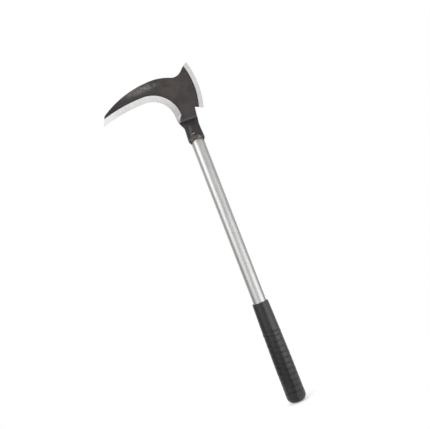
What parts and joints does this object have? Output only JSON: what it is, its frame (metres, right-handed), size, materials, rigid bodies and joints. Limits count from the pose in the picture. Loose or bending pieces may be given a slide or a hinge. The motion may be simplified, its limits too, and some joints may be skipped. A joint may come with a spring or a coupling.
{
  "type": "hand sickle",
  "caption": "Long-handled hand sickle with a hooked forged blade, a small hatchet edge on its back, a steel tube handle and a ribbed rubber grip.",
  "frame": {"origin": "centre of the grip's butt, on the handle tube's axis", "axes": "+Z along the handle from butt to head, -X towards the sickle's tip, +X towards the hatchet edge, -Y out of the blade's front face"},
  "size_m": [0.175, 0.0336, 0.6004],
  "materials": {
    "forged_steel": "forge-black, slightly glossy, with faint heat tints",
    "edge_steel": "ground bright across the edge",
    "stainless_tube": "satin, drawn lengthwise",
    "weld_metal": "heat-tinted, uneven",
    "pin_steel": "worn bright",
    "grip_rubber": "moulded, satin black"
  },
  "bodies": {
    "root": {"blade_body": "forged_steel", "sickle_edge": "edge_steel", "hatchet_edge": "edge_steel", "socket": "forged_steel", "neck_weld": "weld_metal", "tongue_weld": "weld_metal", "rim_weld": "weld_metal", "lock_pin": "pin_steel", "handle_tube": "stainless_tube", "grip": "grip_rubber"}
  },
  "joints": []
}
